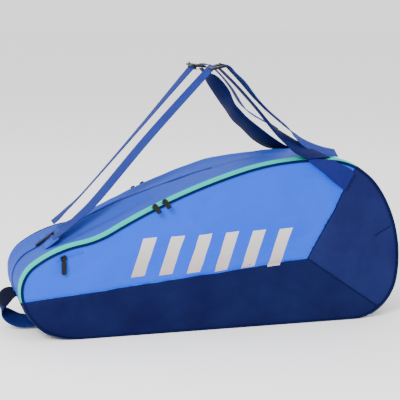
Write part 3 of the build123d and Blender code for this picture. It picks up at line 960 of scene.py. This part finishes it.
# %% sewn ends
TAB_RUN = {
    "front": [
        (203, 101.0, 326, -0.97, 0, 0.1, 60, 2.4), (209, 105.5, 320, -0.93, 0, 0.02, 56, 2.4),
        (234, 106.5, 303, -0.85, 0, -0.3, 44, 2.4), (262.5, 105.5, 281, -0.48, 0, -0.88, 38, 2.2),
    ],
    "back": [
        (203, 101.0, 314, -0.97, 0, 0.1, 56, 2.4), (209, 105.5, 308, -0.93, 0, 0.02, 54, 2.4),
        (234, 106.5, 294, -0.85, 0, -0.3, 44, 2.4), (260, 105.5, 275, -0.48, 0, -0.88, 38, 2.2),
    ],
}
for side_name, side in SIDES.items():
    tab = band(f"{side_name}_sewn_tab", band_stations(TAB_RUN[side_name], side), FLAT, tab_cloth,
               skewed=True)
    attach(tab, f"{side_name}_cover_half")
    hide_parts(f"{side_name}_strap_patch")
    patch = band(f"{side_name}_anchor_cloth",
                 [(-324, side * 31, 165.5, 0, 1, 0, 34, 1.6), (-317, side * 31, 170.5, 0, 1, 0, 35, 4.0),
                  (-307, side * 31, 178, 0, 1, 0, 35, 4.5), (-298, side * 31, 184.5, 0, 1, 0, 34, 2.6)],
                 FLAT, gusset_cloth)
    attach(patch, "body")
    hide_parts(f"{side_name}_anchor")
print("sewn ends done")

# %% [markdown]
# The grab loop is a stiff webbing that leaves the bag at the narrow end and comes back near the base.

# %% grab loop
LOOP_RUN = [
    (-368, 70, -0.1, 1, 0.1), (-380, 72, -0.3, 0.95, 0.2), (-391, 68, -0.4, 0.88, 0.25),
    (-400, 58, -0.4, 0.88, 0.2), (-405, 46, -0.2, 1, 0.15), (-400, 35, 0.1, 0.95, 0.3),
    (-387, 24, 0.3, 0.9, 0.4), (-369, 15, 0.15, 0.9, 0.42), (-345, 12, 0, 0.95, 0.3),
    (-322, 10, 0, 1, 0.1),
]
loop = band("grab_loop_band", [(x, 0.0, z, ax, ay, az, 40.0, 2.6) for x, z, ax, ay, az in LOOP_RUN],
            FLAT, loop_cloth)
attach(loop, "body")
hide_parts("grab_loop")
print("grab loop", len(loop.data.polygons), "faces")

# %% the pocket's zip
pocket = [k for k in range(len(SIDE)) if -322.0 <= SIDE[k][0] <= -262.0 and SIDE[k][3] > 0]


def pocket_point(k, across):
    x, z, nx, nz = SIDE[k]
    return (x - nx * across[0], -(100.0 + across[1]), z - nz * across[0])


# Each pair is how far in from the rim and how far out from the face; the dip is the closed zip.
POCKET_LIPS = [(9.5, -0.6), (10.2, 0.35), (11.6, 0.5), (11.9, -0.2),
               (12.1, -0.2), (12.4, 0.5), (13.8, 0.35), (14.5, -0.6)]
pocket_strip = lofted("pocket_zip_strip", pocket, POCKET_LIPS, pocket_point, light_cloth)
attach(pocket_strip, "front_cover_half")
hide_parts("pocket_zip")
print("pocket strip", len(pocket))

# %% [markdown]
# The printed mark is a plain row of slanted silver bars, thin foil that follows the face of the cover.

# %% silver bars on the front
BAR_COUNT = 6
BAR_FIRST = -172       # low corner of the first bar on X
BAR_PITCH = 54
BAR_WIDTH = 26
BAR_LEAN = 24          # how far the top stands ahead of the foot
BAR_HEIGHT = 74
BAR_FOOT = 114
ROW_SLOPE = 0.02       # the row climbs a little towards the wide end
FOIL_OUT = 0.25
BAR_COLUMNS, BAR_ROWS = 8, 14
for bar in range(BAR_COUNT):
    spots, faces = [], []
    low_x = BAR_FIRST + bar * BAR_PITCH
    base_z = BAR_FOOT + (low_x + 160) * ROW_SLOPE
    for i in range(BAR_COLUMNS + 1):
        for j in range(BAR_ROWS + 1):
            u, v = i / BAR_COLUMNS, j / BAR_ROWS
            x = low_x + BAR_WIDTH * u + BAR_LEAN * v
            z = base_z + BAR_HEIGHT * v + 2.0 * u
            spots.append((x, -(FACE - 1.6 + swell(x, z, SWELL_SEED["front"]) + FOIL_OUT), z))
    for i in range(BAR_COLUMNS):
        for j in range(BAR_ROWS):
            a = i * (BAR_ROWS + 1) + j
            faces.append((a, a + BAR_ROWS + 1, a + BAR_ROWS + 2, a + 1))
    foil = make_piece(f"silver_bar_{bar + 1}", spots, faces, silver_print)
    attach(foil, "front_cover_half")
print("silver bars", BAR_COUNT)

# %% [markdown]
# Seams are what make cloth look sewn. Each stitch is a tiny bead of thread, four millimetres from the
# next one, laid along a path on the cloth. The beads of one seam are a single mesh.


# %% rows of stitches
STITCH_PITCH = 4.2
STITCH_HALF = 1.35
STITCH_RADIUS = 0.32


def stitches(name, path, facing, material):
    """Beads of thread along a path of points in millimetres; facing is the way the cloth faces."""
    spots, faces = [], []
    facing = Vector(facing).normalized()
    for start, end in zip(path, path[1:]):
        start, end = Vector(start), Vector(end)
        length = (end - start).length
        along = (end - start) / length
        across = facing.cross(along).normalized()
        count = max(1, int(length / STITCH_PITCH))
        for k in range(count):
            middle = start + along * (length * (k + 0.5) / count) + facing * 0.2
            base_index = len(spots)
            for reach, size in ((-1.0, 0.45), (-0.6, 1.0), (0.6, 1.0), (1.0, 0.45)):
                for q in range(6):
                    turn = pi * q / 3
                    spots.append(middle + along * (STITCH_HALF * reach)
                                 + (across * cos(turn) + facing * sin(turn)) * (STITCH_RADIUS * size))
            for ring in range(3):
                for q in range(6):
                    a, b = base_index + ring * 6 + q, base_index + ring * 6 + (q + 1) % 6
                    faces.append((a, b, b + 6, a + 6))
            faces.append(tuple(base_index + q for q in range(6))[::-1])
            faces.append(tuple(base_index + 18 + q for q in range(6)))
    return make_piece(name, spots, faces, material)


def on_face(side, seed, x, z):
    """The place of a point of a face, out on its cloth."""
    return Vector(settle(x, side * (FACE - 1.6 + swell(x, z, seed)), z))


def seam_path(a, b, offset, side, seed, step=12.0, spare=8.0, lift=0.0, margin=7.0):
    """Points beside the seam from a towards b, on the cloth of one face, ending short of the rim."""
    length = hypot(b[0] - a[0], b[1] - a[1])
    ux, uz = (b[0] - a[0]) / length, (b[1] - a[1]) / length
    path = []
    for k in range(int((length - 2 * spare) / step) + 1):
        x = a[0] + ux * (spare + step * k) - uz * offset
        z = a[1] + uz * (spare + step * k) + ux * offset
        if to_rim(x, z) < margin:
            break
        path.append(on_face(side, seed, x, z) + Vector((0, side * lift, 0)))
    return path


light_thread = cloth("light_thread", (0.01, 0.06, 0.42), threads=3000, painted_mottle=0.0, crumple=0.0)
for side_name, side in SIDES.items():
    seed = SWELL_SEED[side_name]
    facing = (0, side, 0)
    half = f"{side_name}_cover_half"
    upper = stitches(f"{side_name}_seam_stitches", seam_path(CORNER, SEAM_NARROW, -3.4, side, seed),
                     facing, light_thread)
    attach(upper, half)
    rising = stitches(f"{side_name}_end_seam_stitches", seam_path(CORNER, SEAM_TOP, -3.4, side, seed),
                      facing, stitch_thread)
    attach(rising, half)
    falling = stitches(f"{side_name}_low_seam_stitches", seam_path(CORNER, SEAM_BOTTOM, 3.4, side, seed),
                       facing, stitch_thread)
    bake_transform(falling)
    print(side_name, "seams stitched")

# %% the dark welts of the end panel
WELT_ROUND = [(cos(pi * q / 4), sin(pi * q / 4)) for q in range(8)]
for side_name, side in SIDES.items():
    seed = SWELL_SEED[side_name]
    welts = (("end_seam", (CORNER, SEAM_TOP)), ("low_seam", (CORNER, SEAM_BOTTOM)), ("dart", DART))
    for label, (low, high) in welts:
        along = Vector((high[0] - low[0], 0, high[1] - low[1]))
        across = along.cross(Vector((0, 1, 0))).normalized()
        path = seam_path(low, high, 0.0, side, seed, step=4.0, spare=1.0, lift=0.8, margin=4.0)
        stations = [(*spot, *across, 1.9, 1.5) for spot in path]
        welt = band(f"{side_name}_{label}_welt", stations, WELT_ROUND, piping_cloth, count=1)
        if label == "low_seam":
            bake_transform(welt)
        else:
            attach(welt, f"{side_name}_cover_half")
print("welts done")

# %% stitched boxes on the tabs and anchors
for side_name, side in SIDES.items():
    drop = 0.0 if side < 0 else -8.0
    box = [(232, 289), (248, 277), (262, 295), (246, 307), (232, 289), (262, 295), (248, 277), (246, 307)]
    boxed = stitches(f"{side_name}_tab_stitches", [(x, side * 107.6, z + drop) for x, z in box], (0, side, 0),
                     stitch_thread)
    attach(boxed, f"{side_name}_cover_half")
    lift = 5.4
    frame_box = [(-314, 17), (-300, 17), (-300, 45), (-314, 45), (-314, 17), (-300, 45)]
    sewn = stitches(f"{side_name}_anchor_stitches",
                    [(x, side * y, 172.0 + (x + 314) * 0.5 + lift) for x, y in frame_box], (-0.45, 0, 0.89),
                    stitch_thread)
    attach(sewn, "body")
print("boxes stitched")
